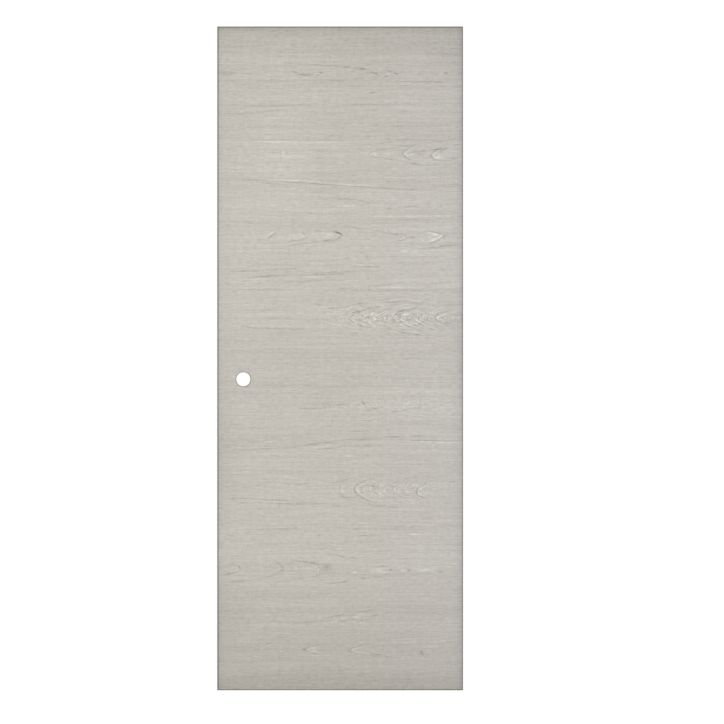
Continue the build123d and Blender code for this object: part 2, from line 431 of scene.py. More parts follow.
STREAKS = tuple(Streak((u0, v0), (u1, v1), width, levels) for u0, v0, u1, v1, width, levels in (
    # Broad tones
    (40, 70, 420, 70, 160, 8), (560, 70, 900, 70, 200, -10), (380, 1095, 900, 1095, 260, 12),
    (40, 370, 340, 370, 380, 12), (-70, 1300, 80, 1300, 420, -14), (-140, 1760, 110, 1760, 300, -12),
    # From about 87 mm down
    (-10, 140, 62, 138, 14, -40), (40, 135, 145, 141, 4.5, -38), (170, 106, 300, 114, 5, -38),
    (270, 113, 370, 120, 5.5, -54), (340, 118, 412, 127, 7, -70), (400, 126, 464, 132, 8.5, -74),
    (452, 134, 482, 146, 10, -70), (474, 142, 488, 155, 7, -50), (212, 128, 252, 145, 6, -45),
    (236, 143, 288, 146, 11, -80), (278, 146, 300, 136, 5, -45), (298, 136, 323, 143, 8, -92),
    (292, 148, 310, 146, 5, -40), (284, 141, 300, 143, 5, 34), (250, 153, 285, 153, 4, 30),
    (494, 134, 532, 138, 5.5, -66), (524, 138, 546, 148, 5.5, -64), (496, 153, 514, 148, 6, -56),
    (518, 150, 534, 154, 5, -42), (500, 142, 520, 146, 5, 34), (597, 146, 613, 145, 5, -48),
    (590, 141, 604, 139, 4, 30), (675, 142, 692, 141, 6.5, -60), (660, 142, 676, 142, 6, 32),
    (10, 152, 170, 150, 5, 20), (15, 161, 80, 157, 4, -34), (60, 157, 220, 160, 4, -30),
    (15, 172, 165, 170, 4, -34), (325, 165, 408, 160, 4.5, -40), (395, 160, 455, 157, 4, -36),
    (480, 166, 720, 166, 4.5, -48), (645, 167, 678, 167, 5, -36), (370, 175, 720, 174, 4, 18),
    (378, 179, 452, 179, 4, -36), (451, 197, 477, 197, 4.5, -80),
    # From about 210 mm down
    (20, 235, 320, 235, 10, -36), (300, 233, 620, 233, 8, -28), (30, 261, 120, 256, 4.5, -36),
    (100, 256, 215, 247, 5, -36), (60, 246, 270, 238, 5, 20), (160, 273, 440, 254, 4, -20),
    (420, 304, 735, 294, 3.8, -30),
    # From about 338 mm down
    (-40, 339, 500, 339, 4.4, -40), (440, 339, 775, 339, 4.4, -34), (498, 337, 522, 337, 4, -40),
    (20, 345, 520, 344, 5, 28), (440, 353, 560, 344, 4, -30), (500, 345, 590, 337, 4, -26),
    (188, 367, 189, 388, 6, -64), (160, 380, 187, 376, 5, -34), (197, 370, 197, 386, 6, 36),
    (204, 378, 216, 384, 5, -36), (268, 371, 335, 371, 4.4, -40), (284, 390, 335, 397, 4.4, -36),
    (456, 385, 484, 384, 12, 26), (492, 384, 530, 382, 12, 22), (462, 378, 540, 363, 4.6, -44),
    (520, 366, 620, 349, 4.6, -44), (600, 351, 735, 334, 4.6, -40), (480, 396, 560, 405, 4.6, -38),
    (545, 404, 625, 416, 5, -50), (564, 386, 592, 386, 8, 40), (590, 384, 625, 384, 8, -30),
    (576, 378, 640, 371, 5, -96), (625, 373, 700, 360, 5, -90), (650, 389, 672, 391, 14, 34),
    (655, 376, 700, 359, 5.5, -66), (690, 362, 735, 348, 5, -56), (660, 368, 735, 352, 4.6, 40),
    (676, 396, 735, 394, 9, -44), (10, 402, 130, 415, 3.8, -26), (0, 450, 250, 468, 4.2, -44),
    (100, 465, 245, 477, 4.4, -52), (160, 464, 400, 476, 4.4, -66), (330, 473, 600, 489, 4.4, -64),
    (110, 456, 360, 468, 4, 50), (300, 468, 520, 479, 4, 54), (500, 484, 735, 494, 4, -26),
    (325, 510, 470, 526, 7, -48),
    # From about 523 mm down
    (350, 536, 425, 537, 7, 40), (545, 537, 607, 537, 5, -50), (558, 543, 602, 543, 4.4, 50),
    (375, 566, 760, 567, 4, 38), (560, 567, 760, 568, 3.6, 26), (410, 576, 760, 578, 5, -22),
    (0, 588, 200, 590, 6, -22),
    # From about 605 mm down
    (146, 640, 181, 613, 6, -84), (140, 635, 178, 608, 4.4, 44), (195, 628, 262, 625, 20, 16),
    (252, 611, 263, 624, 7, -56), (200, 647, 275, 632, 5, -48), (110, 653, 215, 645, 5, -34),
    (345, 606, 374, 623, 8, -92), (374, 620, 356, 634, 8, -66), (290, 647, 366, 632, 5.5, -58),
    (180, 661, 310, 643, 5, -44), (305, 622, 358, 622, 18, 24), (282, 605, 320, 612, 6, -34),
    (105, 642, 150, 637, 4, -30), (365, 594, 475, 608, 4.6, -52), (455, 606, 515, 617, 4.6, -54),
    (500, 617, 563, 624, 5, -62), (568, 630, 598, 629, 5.5, -60), (536, 642, 562, 637, 4.6, -50),
    (560, 640, 590, 637, 5, 24), (620, 612, 676, 627, 6.5, 62), (622, 648, 674, 630, 7, 60),
    (618, 630, 664, 629, 16, 14), (622, 655, 672, 637, 5, -60), (614, 607, 660, 617, 4.6, -44),
    (672, 624, 700, 622, 7, -60), (545, 672, 573, 672, 4.4, 52), (540, 674, 735, 668, 4, 30),
    (585, 668, 735, 652, 5.2, -56), (400, 689, 735, 688, 5, -26), (370, 714, 470, 714, 3.8, 44),
    (385, 717, 500, 717, 4, -80), (462, 717, 494, 717, 4.5, -70), (20, 735, 140, 729, 4.6, -54),
    (110, 730, 260, 722, 4.6, -48), (55, 753, 240, 741, 5, -60), (220, 743, 420, 738, 5, -56),
    (230, 736, 540, 729, 5, -36), (240, 747, 330, 747, 3.6, 44), (60, 758, 170, 755, 4, 36),
    (150, 767, 335, 756, 5, -52),
    # From about 783 mm down
    (320, 785, 440, 778, 4.6, -56), (420, 778, 560, 768, 4.6, -52), (440, 781, 640, 780, 5, 40),
    (600, 776, 735, 764, 5, -36), (0, 786, 260, 786, 4.6, -52), (240, 788, 735, 789, 7, -40),
    (398, 858, 432, 849, 5.5, -72), (420, 851, 480, 840, 4.6, -34), (300, 849, 420, 831, 4.4, -30),
    (60, 848, 250, 846, 4.6, -26), (140, 872, 172, 873, 4.4, -40), (155, 872, 195, 872, 4.4, -52),
    (196, 873, 232, 873, 4.4, -52), (66, 892, 112, 902, 5, -56), (90, 902, 180, 903, 5, -46),
    (150, 903, 215, 905, 4.4, -52), (190, 905, 268, 906, 4.4, -42), (180, 898, 200, 898, 3.6, 32),
    (286, 830, 316, 830, 5.5, -60), (330, 842, 356, 837, 5, -56), (413, 829, 440, 827, 5.5, -60),
    (474, 842, 492, 839, 5.5, -60), (498, 848, 516, 843, 6.5, -70), (484, 837, 502, 835, 4, 48),
    (498, 854, 532, 846, 4, 46), (500, 822, 560, 814, 4.4, 44), (550, 814, 628, 823, 4.4, 42),
    (500, 828, 560, 820, 4.4, -44), (550, 820, 622, 829, 4.4, -42), (530, 853, 584, 844, 7.5, -72),
    (528, 862, 552, 856, 11, -36), (437, 893, 482, 909, 4.5, -48), (658, 881, 705, 889, 6.5, -72),
    (535, 914, 582, 921, 5, -58), (570, 919, 628, 926, 4.8, -54), (560, 914, 604, 918, 3.8, 40),
    (406, 917, 426, 916, 6, -44), (403, 911, 429, 911, 5, 44),
    # From about 920 mm down
    (60, 1041, 740, 1050, 9, -16), (0, 1074, 600, 1076, 6, -18), (164, 1078, 208, 1077, 4.5, -38),
    # From about 1083 mm down
    (120, 1131, 168, 1126, 4.5, -34), (240, 1143, 285, 1140, 6, -56), (262, 1143, 335, 1142, 7, -54),
    (250, 1132, 400, 1130, 16, -16), (328, 1130, 342, 1144, 6, -56), (350, 1136, 390, 1131, 5, -52),
    (403, 1133, 432, 1132, 4.2, -50), (429, 1119, 447, 1138, 5, -110), (405, 1128, 438, 1127, 4, 36),
    (446, 1146, 500, 1141, 4.8, -60), (515, 1155, 548, 1152, 4.5, -46), (545, 1152, 580, 1144, 5, -52),
    (575, 1144, 615, 1142, 4.5, -36), (428, 1178, 470, 1177, 4.2, -42), (438, 1176, 472, 1169, 3.8, 34),
    # From about 1190 mm down
    (386, 1211, 458, 1211, 4.6, -64), (465, 1211, 495, 1211, 4.2, -34), (571, 1223, 624, 1222, 4.6, -64),
    (186, 1227, 212, 1227, 4, -42), (10, 1268, 270, 1256, 5, -48), (190, 1263, 410, 1233, 8, -50),
    (296, 1266, 390, 1254, 6.5, -56), (360, 1254, 505, 1254, 6, -54), (370, 1236, 510, 1234, 6, -46),
    (498, 1226, 564, 1227, 6, -50), (480, 1236, 770, 1237, 5, -64), (560, 1241, 770, 1242, 4.2, 50),
    (60, 1279, 300, 1276, 7, 24), (90, 1241, 132, 1239, 4.6, -50), (140, 1241, 170, 1240, 4, 44),
    (186, 1229, 212, 1229, 4.2, 50), (378, 1282, 420, 1283, 4, 50),
    # From about 1290 mm down
    (56, 1382, 112, 1378, 4.4, -44), (100, 1379, 168, 1363, 4.4, -38), (225, 1370, 262, 1369, 4.8, -50),
    (245, 1369, 280, 1362, 4.4, -42), (328, 1364, 375, 1361, 5, -50), (365, 1361, 400, 1350, 5, -50),
    (390, 1353, 425, 1346, 5, -44), (420, 1346, 560, 1334, 4, -26),
    # From about 1400 mm down
    (360, 1402, 405, 1415, 6, -58), (460, 1378, 474, 1373, 7.5, -72), (516, 1376, 532, 1374, 6.5, -66),
    (618, 1369, 628, 1364, 7.5, -60), (589, 1392, 602, 1392, 8.5, -60), (680, 1366, 718, 1362, 5, -44),
    (20, 1413, 130, 1413, 4.6, -48), (110, 1414, 230, 1419, 4.4, -44), (90, 1421, 345, 1434, 4.4, -44),
    (210, 1420, 345, 1431, 4.6, -44), (60, 1417, 200, 1420, 3.6, 28), (40, 1424, 110, 1424, 3.8, -32),
    (334, 1433, 390, 1438, 5, -56), (440, 1424, 472, 1432, 4.6, -46), (460, 1432, 510, 1433, 4.6, -50),
    (500, 1434, 550, 1441, 4.2, -36), (600, 1471, 645, 1471, 4.6, -60), (650, 1489, 735, 1492, 4.4, -44),
    (60, 1500, 300, 1501, 4.8, -40), (402, 1504, 428, 1504, 4.4, -60), (570, 1519, 620, 1519, 4.6, 50),
    (395, 1522, 500, 1523, 5, -46), (295, 1524, 312, 1524, 4.6, -56), (28, 1522, 60, 1522, 4.6, -50),
    (100, 1546, 220, 1547, 4, -42), (468, 1575, 510, 1575, 4, -52), (354, 1562, 381, 1562, 5, 66),
    (320, 1581, 362, 1581, 5, -60), (352, 1582, 392, 1590, 5, -66), (380, 1589, 425, 1590, 4.4, -46),
    (228, 1600, 300, 1606, 6, -76), (262, 1604, 310, 1610, 6, -66), (300, 1616, 354, 1620, 24, -40),
    (170, 1600, 198, 1616, 7, -58), (195, 1616, 197, 1636, 6, -36),
    # From about 1620 mm down
    (125, 1650, 200, 1634, 5, -42), (20, 1664, 140, 1649, 5, -36), (190, 1604, 240, 1604, 20, -20),
    (12, 1645, 68, 1628, 6, -46), (12, 1607, 68, 1617, 5.5, -40), (30, 1616, 64, 1618, 7, 30),
    (255, 1626, 298, 1626, 22, 14), (305, 1636, 325, 1635, 5, -56), (140, 1666, 225, 1655, 4.6, -42),
    (205, 1657, 290, 1645, 4.6, -40), (270, 1647, 345, 1632, 4.2, -30), (325, 1666, 368, 1662, 5, -60),
    (358, 1663, 398, 1656, 5, -66), (355, 1659, 392, 1654, 3.8, 44), (420, 1649, 462, 1648, 5.5, -66),
    (450, 1647, 508, 1644, 4.6, -52), (402, 1632, 420, 1632, 4.6, 46), (405, 1623, 428, 1622, 4.2, -34),
    (448, 1626, 502, 1626, 13, 34), (509, 1625, 525, 1625, 7.5, -84), (538, 1626, 548, 1626, 5, -36),
    (545, 1627, 570, 1626, 7, 44), (565, 1627, 582, 1627, 7.5, -70), (576, 1625, 666, 1626, 8, 46),
    (655, 1629, 679, 1629, 6.5, -70), (470, 1615, 522, 1614, 4.2, -52), (483, 1636, 522, 1635, 4.2, -52),
    (485, 1631, 520, 1631, 3.8, 46), (0, 1690, 200, 1691, 3.6, -20),
    # From about 1700 mm down
    (325, 1770, 372, 1761, 5, -52), (365, 1761, 420, 1757, 4.6, -46), (350, 1775, 400, 1764, 4.6, 50),
    (358, 1782, 392, 1775, 5, -60), (385, 1776, 422, 1771, 4.6, -48), (402, 1766, 436, 1765, 4.6, 54),
    (420, 1781, 444, 1781, 5, 56), (380, 1750, 520, 1742, 5, -22), (220, 1788, 310, 1776, 6, -40),
    (296, 1774, 400, 1752, 5, -46), (380, 1753, 480, 1743, 5, -38), (330, 1784, 374, 1774, 5, 32),
    (415, 1777, 475, 1769, 4.8, -40), (440, 1764, 530, 1751, 4.8, -34), (162, 1827, 213, 1827, 4.2, -50),
    # From about 1840 mm down
    (130, 1861, 168, 1844, 4.6, 50), (140, 1850, 172, 1840, 4.2, -42), (100, 1870, 134, 1856, 4.6, -40),
    (102, 1881, 142, 1888, 3.8, 42), (249, 1861, 268, 1861, 8, -46), (270, 1862, 312, 1864, 14, 30),
    (450, 1869, 470, 1877, 5.2, -58), (458, 1876, 500, 1878, 5.2, -58), (495, 1879, 530, 1887, 4.6, -52),
    (605, 1862, 621, 1886, 8, -60), (420, 1853, 610, 1846, 4, -22), (590, 1846, 735, 1834, 5, 24),
    (600, 1858, 680, 1850, 4.4, 32),
))

# The boards at the top and the foot are darker partly as painted shade towards the leaf's ends; the other
# tones are the boards' own
BOARDS = (
    Board(0, -9), Board(87, -4), Board(210, -3), Board(338, 0), Board(523, 2), Board(605, 3),
    Board(783, 2), Board(920, 0), Board(1083, 1), Board(1190, 1), Board(1290, 2), Board(1400, 3),
    Board(1620, 0), Board(1700, -3), Board(1840, -6), Board(1920, -8),
)

FIBRES = (
    Fibre(900.0, 34.0, 9.0, 1.0),
    Fibre(420.0, 5.6, 16.0, 2.0),
    Fibre(130.0, 3.6, 21.0, 2.0),
    Fibre(20.0, 3.0, 29.0, 2.0),
    Fibre(4.0, 40.0, 9.0, 1.0),
)

PORES = Fibre(22.0, 3.4, -16.0, 1.0)

# Painted shade along the leaf's edges, strongest at the right, the top and the foot
EDGE_SHADES = (
    EdgeShade(Edge.LEFT, 7.5, 18.0, 5.3, 40.0), EdgeShade(Edge.RIGHT, 24.0, 11.0, 3.0, 52.0),
    EdgeShade(Edge.TOP, 22.0, 14.0, 3.6, 74.0), EdgeShade(Edge.FOOT, 14.0, 30.0, 3.4, 40.0),
)


@dataclass(frozen=True)
class WoodDecorFoil:
    """Printed finish foil on a thin fibreboard skin, pressed with a fine pore texture.

    The print shows pale, greyed oak veneer, laid crossways in boards that are matched edge to edge.
    Its lacquer is semi-matte, so it shows soft highlights and no mirror image. Where the skin is
    cut, at the leaf's ends and round the bore, the brown fibreboard shows. Fibres and pores are
    drawn coarser than real ones, which are too fine to show from where the picture is taken.

    Attributes:
        shades: the print's colours by their levels.
        fibreboard: the cut fibreboard's light and dark chips.
        chip: size of such a chip across, up and into the sheet, in mm.
        roughness: of the lacquer.
        pore_depth: of the pressed pores, in mm.
        pore_range: the noise values at which a pore begins and is full.
        foil_reach: how far the foil wraps over the arris, in mm below the face.
        foil_edge: width of the soft edge of the foil at the arris and at the bore, in mm.
        board_blend: half the width of the soft joint between two boards, in mm.
        board_levels: the range of display levels that the boards' tones lie in.
        wave: how far the grain wavers up and down over a hand's breadth, in mm.
        shake: how far it does over a finger's breadth, in mm.
        fray: how far an arch's line frays along the grain, in mm.
        patches: how strongly the drawn grain comes and goes, and its share where the noise is zero.
        swirl_core: share of an oval's depth at which its rings have their full strength.
        blur: half the width of the soft edge of the painted shade at the arris and round the bore, in mm.
        leaf_width: in mm.
        leaf_height: in mm.
        face_depth: from the leaf's middle plane to its face, in mm.
        bore_place: the bore's middle across and up the leaf, in mm in the leaf's frame.
        bore_radius: of the bore's wall, in mm.
        bore_arris: width of the eased edge round the bore's mouth, in mm.
        arch_levels: the range of display levels that an arch's curve spans.
        wash: share of the drawn grain's contrast that is left under the greying wash.
        bleed: by how much the print's ink widens a line.
        bore_shade: middle across and up, and radius, of the ring of painted shade round the bore's mouth, in
            mm.
        bore_shade_levels: display levels of painted shade that the ring takes away.
        cooling: by which share red, green and blue light change from the left edge to the right.
    """

    shades: tuple[tuple[float, str], ...] = (
        (-72.0, "6E6A62"), (-24.0, "9E9A92"), (0.0, "B6B2AA"), (24.0, "CECBC3"), (48.0, "E6E3DC"),
    )
    fibreboard: tuple[str, str] = ("A58763", "7B5F42")
    chip: tuple[float, float, float] = (0.9, 0.9, 0.25)
    roughness: float = 0.5
    pore_depth: float = 0.06
    pore_range: tuple[float, float] = (0.66, 0.8)
    foil_reach: float = 1.2
    foil_edge: tuple[float, float] = (0.2, 0.1)
    board_blend: float = 5.0
    board_levels: float = 40.0
    wave: float = 7.0
    shake: float = 3.0
    fray: float = 20.0
    patches: tuple[float, float] = (2.8, -0.4)
    swirl_core: float = 0.6
    blur: tuple[float, float] = (0.5, 0.7)
    leaf_width: float = 735.0
    leaf_height: float = 1985.0
    face_depth: float = 20.0
    bore_place: tuple[float, float] = (-289.5, -1055.0)
    bore_radius: float = 21.0
    bore_arris: float = 0.5
    arch_levels: float = 240.0
    wash: float = 0.43
    bleed: float = 1.25
    bore_shade: tuple[float, float, float] = (-289.2, -1055.4, 23.8)
    bore_shade_levels: float = 38.0
    cooling: tuple[float, float, float] = (-0.012, 0.0, 0.026)

    def sheet_place(self, recipe: Recipe, here: Socket) -> Socket:
        """Lays the sheet on the front, and on the back the same sheet with its top end down.

        With s the sign of y, -1 in front and 1 behind, v = middle + s * (z + middle), where middle
        is half the leaf's height.

        Args:
            recipe: the finish's node tree.
            here: the place in the leaf's frame, in mm.

        Returns:
            The place on the sheet as (u, v, depth below the face), in mm.
        """
        add, middle = recipe.add, self.leaf_height / 2
        split = add(SPLIT, {0: here})
        u = add(MATH, {0: split, 1: self.leaf_width / 2}, operation="ADD")
        face = add(MATH, {0: split.node.outputs[1]}, operation="SIGN")
        up = add(MATH, {0: split.node.outputs[2], 1: middle}, operation="ADD")
        v = add(MATH, {0: face, 1: up, 2: middle}, operation="MULTIPLY_ADD")
        away = add(MATH, {0: split.node.outputs[1]}, operation="ABSOLUTE")
        depth = add(MATH, {0: self.face_depth, 1: away}, operation="SUBTRACT")
        return add(JOIN, {0: u, 1: v, 2: depth})

    def grain_place(self, recipe: Recipe, place: Socket) -> tuple[Socket, Socket, Socket]:
        """Lets the grain waver, so that no line runs dead straight.

        Args:
            recipe: the finish's node tree.
            place: where on the sheet, in mm.

        Returns:
            The wavering place as one vector, then its u and its v.
        """
        wave = recipe.fleck(place, (210.0, 90.0), 0.0)
        shake = recipe.fleck(place, (34.0, 9.0), 1.0)
        split = recipe.add(SPLIT, {0: place})
        u, v = split, split.node.outputs[1]
        v = recipe.add(MATH, {0: wave, 1: self.wave, 2: v}, operation="MULTIPLY_ADD")
        v = recipe.add(MATH, {0: shake, 1: self.shake, 2: v}, operation="MULTIPLY_ADD")
        v = recipe.add(MATH, {0: v, 1: (self.wave + self.shake) / 2}, operation="SUBTRACT")
        return recipe.add(JOIN, {0: u, 1: v, 2: 0.0}), u, v

    def lay_arch(self, layers: Layers, arch: Arch, place: Socket) -> None:
        """Lays one arch: the parabola a = b ** 2 / (2 * radius), a behind its tip and b beside it.

        A point lies about (a - b ** 2 / (2 * radius)) / sqrt(1 + (b / radius) ** 2) mm behind that
        line. Over that distance a curve goes through the dark line and the light wood behind it.
        The dark line fades out evenly over the arch's reach, and the light wood as its square.

        Args:
            layers: the arches' levels.
            arch: the arch.
            place: the frayed place on the sheet, in mm.
        """
        add = layers.recipe.add
        local = add(SPLIT, {0: add(MAPPING, {
            "Vector": place, "Location": (*arch.tip, 0.0), "Rotation": (0.0, 0.0, math.radians(arch.turn)),
            "Scale": (arch.lie.value, 1.0, 1.0),
        }, vector_type="TEXTURE")})
        behind, beside = local, local.node.outputs[1]
        square = add(MATH, {0: beside, 1: beside}, operation="MULTIPLY")
        drop = add(MATH, {0: square, 1: -0.5 / arch.radius, 2: behind}, operation="MULTIPLY_ADD")
        slope = add(MATH, {0: square, 1: arch.radius ** -2, 2: 1.0}, operation="MULTIPLY_ADD")
        away = add(MATH, {0: drop, 1: add(MATH, {0: slope}, operation="SQRT")}, operation="DIVIDE")
        share = add(MATH, {0: away, 1: 0.2 / arch.width, 2: 0.2}, operation="MULTIPLY_ADD")
        profile = fill_points(add(CURVE, {"Value": share}), [
            (0.0, 0.5), (0.1, 0.5), (0.2, 0.5 - arch.dark / self.arch_levels), (0.3, 0.5),
            (0.42, 0.5 + arch.light / self.arch_levels), (0.7, 0.5), (1.0, 0.5),
        ])
        left = add(MATH, {0: behind, 1: -1 / arch.reach, 2: 1.0}, operation="MULTIPLY_ADD")
        fade = add(MATH, {0: left, 1: 0.0}, operation="MAXIMUM")
        lift = add(MATH, {0: profile, 1: 0.5}, operation="SUBTRACT")
        dark = add(MATH, {0: lift, 1: 0.0}, operation="MINIMUM")
        light = add(MATH, {0: lift, 1: 0.0}, operation="MAXIMUM")
        both = add(MATH, {0: light, 1: fade, 2: dark}, operation="MULTIPLY_ADD")
        layers.lay(add(MATH, {0: both, 1: fade}, operation="MULTIPLY"), self.arch_levels)

    def lay_swirl(self, layers: Layers, swirl: Swirl, place: Socket) -> None:
        """Lays fine nested rings: noise over the ring's place, a - b ** 2 / (2 * radius), and b.

        Args:
            layers: the sheet's levels.
            swirl: the rings.
            place: the wavering place on the sheet, in mm.
        """
        add = layers.recipe.add
        oval = add(MAPPING, {"Vector": place, "Location": (*swirl.middle, 0.0), "Scale": (*swirl.size, 1.0)},
                   vector_type="TEXTURE")
        inside = add(SPHERE, {0: oval}, out=1, gradient_type="SPHERICAL")
        inside = add(MATH, {0: inside, 1: self.swirl_core}, operation="MINIMUM")
        local = add(SPLIT, {0: add(VECTOR, {0: place, 1: (*swirl.tip, 0.0)}, operation="SUBTRACT")})
        beside = local.node.outputs[1]
        square = add(MATH, {0: beside, 1: beside}, operation="MULTIPLY")
        ring = add(MATH, {0: square, 1: -0.5 / swirl.radius, 2: local}, operation="MULTIPLY_ADD")
        rings = layers.recipe.fleck(add(JOIN, {0: ring, 1: beside, 2: 0.0}), (6.0, 9.0), 2.0)
        centred = add(MATH, {0: rings, 1: 0.5}, operation="SUBTRACT")
        layers.lay(add(MATH, {0: centred, 1: inside}, operation="MULTIPLY"), swirl.levels / self.swirl_core)

    def lay_streak(self, layers: Layers, streak: Streak, place: Socket) -> None:
        """Lays one grain line or painted highlight: a long ellipse, strongest along its middle.

        Args:
            layers: the sheet's levels.
            streak: the line.
            place: the wavering place on the sheet, in mm.
        """
        (u0, v0), (u1, v1) = streak.left, streak.right
        local = layers.recipe.add(MAPPING, {
            "Vector": place,
            "Location": ((u0 + u1) / 2, (v0 + v1) / 2, 0.0),
            "Rotation": (0.0, 0.0, math.atan2(v1 - v0, u1 - u0)),
            "Scale": (math.hypot(u1 - u0, v1 - v0) / 2, streak.width * self.bleed / 2, 1.0),
        }, vector_type="TEXTURE")
        oval = layers.recipe.add(SPHERE, {0: local}, out=1, gradient_type="SPHERICAL")
        layers.lay(oval, streak.levels)

    def lay_boards(self, layers: Layers, v: Socket) -> None:
        """Lays the boards' tones, with a soft step at each joint; those of the end boards are partly painted
        shade.

        Args:
            layers: the sheet's levels.
            v: distance from the top edge, in mm.
        """
        share = layers.recipe.add(MATH, {0: v, 1: 1 / self.leaf_height}, operation="MULTIPLY")
        greys = [0.5 + board.tone / self.board_levels for board in BOARDS]
        stops = [(0.0, greys[0])]
        for board, before, after in zip(BOARDS[1:], greys, greys[1:]):
            stops.append(((board.top - self.board_blend) / self.leaf_height, before))
            stops.append(((board.top + self.board_blend) / self.leaf_height, after))
        layers.lay(fill_stops(layers.recipe.add(RAMP, {0: share}), stops), self.board_levels, 0.5)

    def lay_edge_shades(self, layers: Layers, place: Socket) -> None:
        """Paints shade on the print towards its edges, and more in a line along the arris.

        Each painted shade falls off as e ** (-distance / reach), and its line ends within a millimetre.

        Args:
            layers: the sheet's levels.
            place: the place on the sheet, in mm.
        """
        add = layers.recipe.add
        split = add(SPLIT, {0: place})
        for edge_shade in EDGE_SHADES:
            axis, backwards = edge_shade.edge.value
            length = (self.leaf_width, self.leaf_height)[axis]
            start, slope = (-length, 1.0) if backwards else (0.0, -1.0)
            run = add(MATH, {0: split.node.outputs[axis], 1: slope / edge_shade.reach, 2: start / edge_shade.reach},
                      operation="MULTIPLY_ADD")
            layers.lay(add(MATH, {0: run}, operation="EXPONENT"), -edge_shade.levels)
            shade_line_end = -edge_shade.line / edge_shade.reach
            blur = self.blur[0] / edge_shade.reach
            line = add(RANGE, {"Value": run, 1: shade_line_end - blur, 2: shade_line_end + blur, 3: 0.0, 4: 1.0})
            layers.lay(line, -edge_shade.shade_line_levels)

    def lay_bore_shade(self, layers: Layers, here: Socket) -> None:
        """Paints shade on the print close round the bore's mouth, most at its lower right.

        Args:
            layers: the sheet's levels.
            here: the place in the leaf's frame, in mm.
        """
        x, z, radius = self.bore_shade
        flat = layers.recipe.add(VECTOR, {0: here, 1: (1.0, 0.0, 1.0)}, operation="MULTIPLY")
        away = layers.recipe.add(VECTOR, {0: flat, 1: (x, 0.0, z)}, out=1, operation="DISTANCE")
        low, high = radius - self.blur[1], radius + self.blur[1]
        ring = layers.recipe.add(RANGE, {"Value": away, 1: low, 2: high, 3: 1.0, 4: 0.0})
        layers.lay(ring, -self.bore_shade_levels)

    def cut_share(self, recipe: Recipe, place: Socket, here: Socket) -> Socket:
        """Finds where the skin is cut and its fibreboard shows.

        Args:
            recipe: the finish's node tree.
            place: the place on the sheet, in mm.
            here: the place in the leaf's frame, in mm.

        Returns:
            1 on the cut fibreboard, 0 on the foil.
        """
        depth = recipe.add(SPLIT, {0: place}, out=2)
        deep = recipe.add(RANGE, {"Value": depth, 1: self.foil_reach, 2: self.foil_reach + self.foil_edge[0],
                                  3: 0.0, 4: 1.0})
        flat = recipe.add(VECTOR, {0: here, 1: (1.0, 0.0, 1.0)}, operation="MULTIPLY")
        middle = (self.bore_place[0], 0.0, self.bore_place[1])
        away = recipe.add(VECTOR, {0: flat, 1: middle}, out=1, operation="DISTANCE")
        mouth = self.bore_radius + self.bore_arris
        inside = recipe.add(RANGE, {"Value": away, 1: mouth - self.foil_edge[1], 2: mouth, 3: 1.0, 4: 0.0})
        return recipe.add(MATH, {0: deep, 1: inside}, operation="MAXIMUM")

    def material(self) -> bpy.types.Material:
        """Builds the finish for both faces of the leaf.

        Returns:
            The finished material.
        """
        recipe = Recipe(bpy.data.materials.new("wood_decor_foil"))
        here = recipe.add(MAPPING, {"Vector": recipe.add(PLACE, out="Object"), "Scale": (1 / MM,) * 3})
        place = self.sheet_place(recipe, here)
        grain, u, v = self.grain_place(recipe, place)
        drawn = Layers(recipe)
        for streak in STREAKS:
            self.lay_streak(drawn, streak, grain)
        fray = recipe.add(MATH, {0: recipe.fleck(grain, (24.0, 2.4), 2.0), 1: 0.5}, operation="SUBTRACT")
        fray = recipe.add(MATH, {0: fray, 1: self.fray, 2: u}, operation="MULTIPLY_ADD")
        frayed = recipe.add(JOIN, {0: fray, 1: v, 2: 0.0})
        for arch in ARCHES:
            self.lay_arch(drawn, arch, frayed)
        broken = recipe.fleck(grain, (20.0, 6.0), 2.0)
        broken = recipe.add(MATH, {0: broken, 1: self.patches[0], 2: self.patches[1]},
                            operation="MULTIPLY_ADD")
        layers = Layers(recipe)
        layers.lay(recipe.add(MATH, {0: drawn.total, 1: broken}, operation="MULTIPLY"), self.wash)
        for fibre in FIBRES:
            layers.lay(recipe.fleck(grain, (fibre.along, fibre.across), fibre.detail), fibre.levels, 0.5)
        for swirl in SWIRLS:
            self.lay_swirl(layers, swirl, grain)
        pore = recipe.fleck(grain, (PORES.along, PORES.across), PORES.detail)
        start, full = self.pore_range
        pore = recipe.add(RANGE, {"Value": pore, 1: start, 2: full, 3: 0.0, 4: 1.0})
        layers.lay(pore, PORES.levels)
        self.lay_boards(layers, v)
        # Painted shade towards the edges and along the arris
        self.lay_edge_shades(layers, place)
        # Painted shade round the bore's mouth
        self.lay_bore_shade(layers, here)
        chip = recipe.fleck(place, self.chip, 2.0)
        stops = [(0.35, linear(self.fibreboard[0])), (0.65, linear(self.fibreboard[1]))]
        cut = fill_stops(recipe.add(RAMP, {0: chip}), stops)
        lean = recipe.add(MATH, {0: u, 1: 1 / self.leaf_width, 2: -0.5}, operation="MULTIPLY_ADD")
        lean = recipe.add(VECTOR, {0: recipe.add(JOIN, {0: lean, 1: lean, 2: lean}), 1: self.cooling,
                                   2: (1.0, 1.0, 1.0)}, operation="MULTIPLY_ADD")
        print_colour = recipe.add(VECTOR, {0: layers.colour(self.shades), 1: lean}, operation="MULTIPLY")
        colour = recipe.add(MIX, {0: self.cut_share(recipe, place, here), 6: print_colour, 7: cut}, out=2,
                            data_type="RGBA")
        pressed = recipe.add(BUMP, {"Strength": 1.0, "Distance": self.pore_depth * MM, "Height": pore},
                             invert=True)
        return recipe.close({"Base Color": colour, "Roughness": self.roughness, "Normal": pressed})


